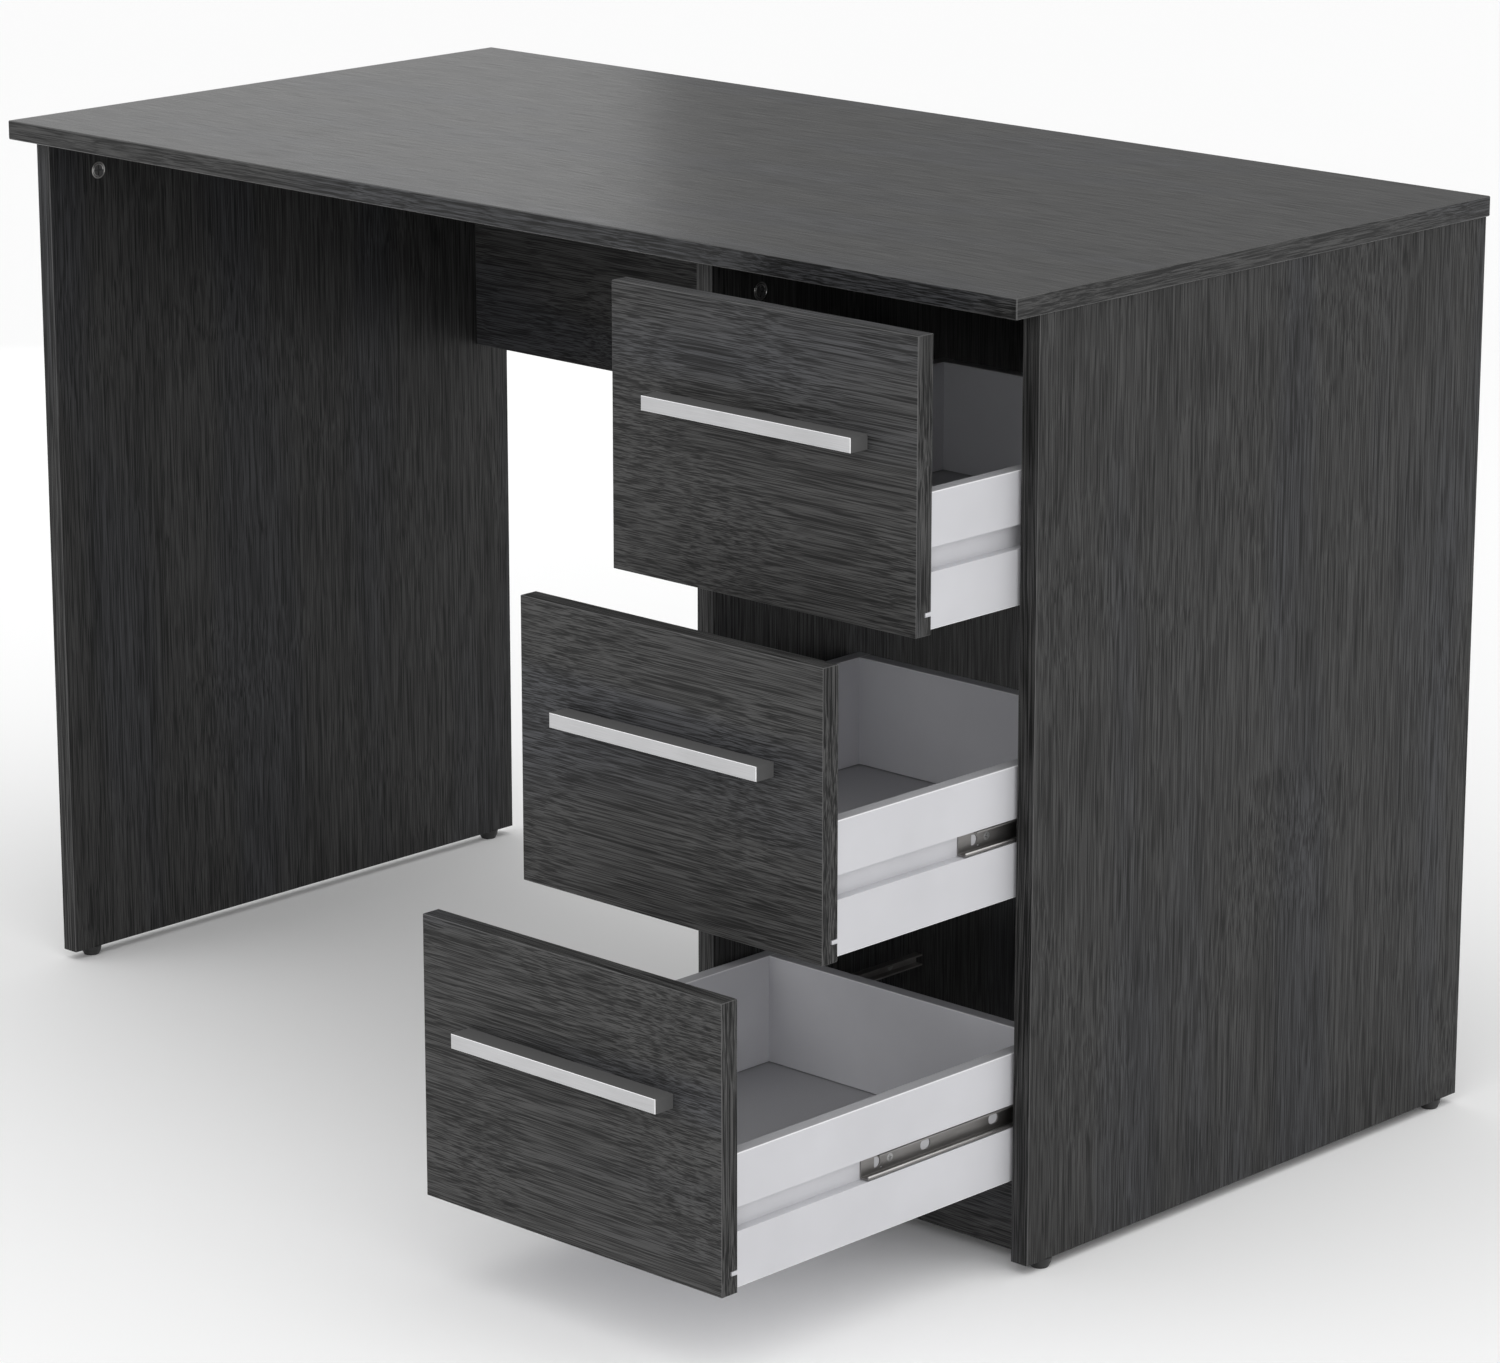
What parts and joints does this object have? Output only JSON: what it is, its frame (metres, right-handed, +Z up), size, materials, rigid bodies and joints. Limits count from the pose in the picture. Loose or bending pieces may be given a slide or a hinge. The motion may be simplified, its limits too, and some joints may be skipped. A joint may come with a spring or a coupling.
{
  "type": "writing desk",
  "caption": "Writing desk of dark wood-decor boards: open knee space with a modesty panel, and a bay of drawers on ball runners, drawn out by different amounts.",
  "frame": {"origin": "on the floor, under the middle of the box that the desk fills as it is stored, with its drawers drawn out (the desktop's own middle is 148.45 mm behind it)", "axes": "+X to the right of somebody sitting at the desk, +Y towards its back, +Z up"},
  "size_m": [1.11, 0.8568, 0.74],
  "materials": {
    "desktop": "satin printed wood-grain melamine, grain along the width, with plastic edging",
    "panel": "printed wood-grain melamine, grain upright, with plastic edging",
    "rail": "printed wood-grain melamine, grain along the length",
    "front": "printed wood-grain melamine, grain across, with plastic edging",
    "drawer_white": "white foil-wrapped fibreboard",
    "handle": "brushed face, polished sides",
    "channel": "bright zinc-plated rolled steel",
    "screw": "zinc-plated",
    "cam": "die-cast zinc",
    "dowel": "fluted beech",
    "glide": "moulded",
    "cage": "moulded, with steel balls"
  },
  "bodies": {
    "cabinet": {"bay_back_panel": "rail", "bottom_left_cabinet_channel": "channel", "bottom_right_cabinet_channel": "channel", "cabinet_channel_screws": "screw", "cam_bolts": "screw", "cam_locks": "cam", "desktop": "desktop", "divider_panel": "panel", "dowels": "dowel", "foot_glides": "glide", "left_side_panel": "panel", "middle_left_cabinet_channel": "channel", "middle_right_cabinet_channel": "channel", "modesty_panel": "rail", "plinth_rail": "rail", "rear_rail": "rail", "right_side_panel": "panel", "top_left_cabinet_channel": "channel", "top_right_cabinet_channel": "channel"},
    "bottom_cages": {"bottom_ball_cages": "cage"},
    "bottom_drawer": {"bottom_drawer_back": "drawer_white", "bottom_drawer_back_screws": "screw", "bottom_drawer_bottom": "drawer_white", "bottom_drawer_cam_fittings": "cam", "bottom_drawer_channel_screws": "screw", "bottom_drawer_front": "front", "bottom_drawer_handle": "handle", "bottom_drawer_handle_screws": "screw", "bottom_drawer_left_channel": "channel", "bottom_drawer_left_side": "drawer_white", "bottom_drawer_right_channel": "channel", "bottom_drawer_right_side": "drawer_white"},
    "middle_cages": {"middle_ball_cages": "cage"},
    "middle_drawer": {"middle_drawer_back": "drawer_white", "middle_drawer_back_screws": "screw", "middle_drawer_bottom": "drawer_white", "middle_drawer_cam_fittings": "cam", "middle_drawer_channel_screws": "screw", "middle_drawer_front": "front", "middle_drawer_handle": "handle", "middle_drawer_handle_screws": "screw", "middle_drawer_left_channel": "channel", "middle_drawer_left_side": "drawer_white", "middle_drawer_right_channel": "channel", "middle_drawer_right_side": "drawer_white"},
    "top_cages": {"top_ball_cages": "cage"},
    "top_drawer": {"top_drawer_back": "drawer_white", "top_drawer_back_screws": "screw", "top_drawer_bottom": "drawer_white", "top_drawer_cam_fittings": "cam", "top_drawer_channel_screws": "screw", "top_drawer_front": "front", "top_drawer_handle": "handle", "top_drawer_handle_screws": "screw", "top_drawer_left_channel": "channel", "top_drawer_left_side": "drawer_white", "top_drawer_right_channel": "channel", "top_drawer_right_side": "drawer_white"}
  },
  "joints": [
    {"name": "top_drawer_slide", "type": "slide", "parent": "cabinet", "child": "top_drawer", "axis": [0, -1, 0], "range_m": [-0.1085, 0.2015]},
    {"name": "top_cages_roll", "type": "slide", "parent": "cabinet", "child": "top_cages", "axis": [0, -1, 0], "range_m": [-0.05425, 0.10075]},
    {"name": "middle_drawer_slide", "type": "slide", "parent": "cabinet", "child": "middle_drawer", "axis": [0, -1, 0], "range_m": [-0.2046, 0.1054]},
    {"name": "middle_cages_roll", "type": "slide", "parent": "cabinet", "child": "middle_cages", "axis": [0, -1, 0], "range_m": [-0.1023, 0.0527]},
    {"name": "bottom_drawer_slide", "type": "slide", "parent": "cabinet", "child": "bottom_drawer", "axis": [0, -1, 0], "range_m": [-0.3069, 0.0031]},
    {"name": "bottom_cages_roll", "type": "slide", "parent": "cabinet", "child": "bottom_cages", "axis": [0, -1, 0], "range_m": [-0.15345, 0.00155]}
  ],
  "couplings": [
    {"joint": "top_cages_roll", "follows": "top_drawer_slide", "ratio": 0.5},
    {"joint": "middle_cages_roll", "follows": "middle_drawer_slide", "ratio": 0.5},
    {"joint": "bottom_cages_roll", "follows": "bottom_drawer_slide", "ratio": 0.5}
  ]
}
